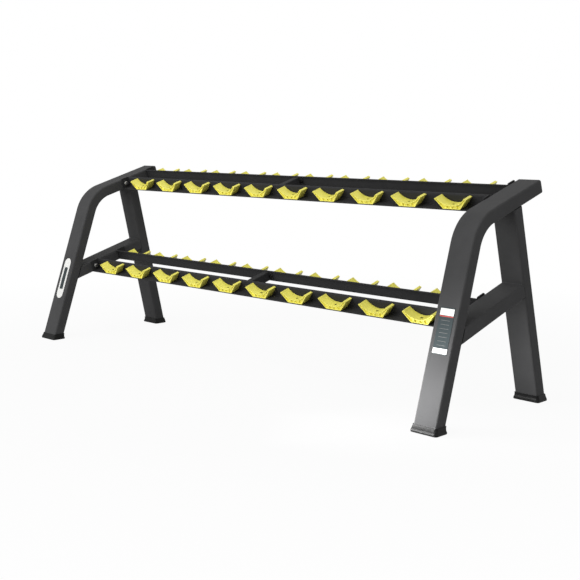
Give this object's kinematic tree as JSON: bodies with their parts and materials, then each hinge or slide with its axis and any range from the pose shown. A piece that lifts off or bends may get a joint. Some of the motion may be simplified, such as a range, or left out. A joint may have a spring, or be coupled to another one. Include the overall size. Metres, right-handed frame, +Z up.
{
  "type": "dumbbell rack",
  "caption": "Two-tier sloping dumbbell rack: bent rectangular-tube end frames, formed steel rails and moulded saddle cradles that each hold one dumbbell head.",
  "frame": {"origin": "on the floor under the middle of the rack", "axes": "+X along the rack, to the right of someone facing its lower front; +Y to the back, where the tiers rise; +Z up"},
  "size_m": [2.446, 0.7008, 0.8432],
  "materials": {
    "frame": "satin charcoal powder coat",
    "cradle": "moulded yellow plastic, fine texture",
    "boot": "black moulded rubber",
    "cap": "black plastic plug"
  },
  "bodies": {
    "root": {"bent_upright_left": "frame", "rear_leg_left": "frame", "cross_arm_left": "frame", "boot_front_left": "boot", "boot_rear_left": "boot", "arm_end_cap_left": "cap", "bent_upright_right": "frame", "rear_leg_right": "frame", "cross_arm_right": "frame", "boot_front_right": "boot", "boot_rear_right": "boot", "arm_end_cap_right": "cap", "rail_upper_rear": "frame", "cradle_upper_rear_01": "cradle", "cradle_upper_rear_02": "cradle", "cradle_upper_rear_03": "cradle", "cradle_upper_rear_04": "cradle", "cradle_upper_rear_05": "cradle", "cradle_upper_rear_06": "cradle", "cradle_upper_rear_07": "cradle", "cradle_upper_rear_08": "cradle", "cradle_upper_rear_09": "cradle", "cradle_upper_rear_10": "cradle", "rail_upper_front": "frame", "cradle_upper_front_01": "cradle", "cradle_upper_front_02": "cradle", "cradle_upper_front_03": "cradle", "cradle_upper_front_04": "cradle", "cradle_upper_front_05": "cradle", "cradle_upper_front_06": "cradle", "cradle_upper_front_07": "cradle", "cradle_upper_front_08": "cradle", "cradle_upper_front_09": "cradle", "cradle_upper_front_10": "cradle", "centre_brace_upper": "frame", "rail_lower_rear": "frame", "cradle_lower_rear_01": "cradle", "cradle_lower_rear_02": "cradle", "cradle_lower_rear_03": "cradle", "cradle_lower_rear_04": "cradle", "cradle_lower_rear_05": "cradle", "cradle_lower_rear_06": "cradle", "cradle_lower_rear_07": "cradle", "cradle_lower_rear_08": "cradle", "cradle_lower_rear_09": "cradle", "cradle_lower_rear_10": "cradle", "rail_lower_front": "frame", "cradle_lower_front_01": "cradle", "cradle_lower_front_02": "cradle", "cradle_lower_front_03": "cradle", "cradle_lower_front_04": "cradle", "cradle_lower_front_05": "cradle", "cradle_lower_front_06": "cradle", "cradle_lower_front_07": "cradle", "cradle_lower_front_08": "cradle", "cradle_lower_front_09": "cradle", "cradle_lower_front_10": "cradle", "centre_brace_lower": "frame"}
  },
  "joints": []
}
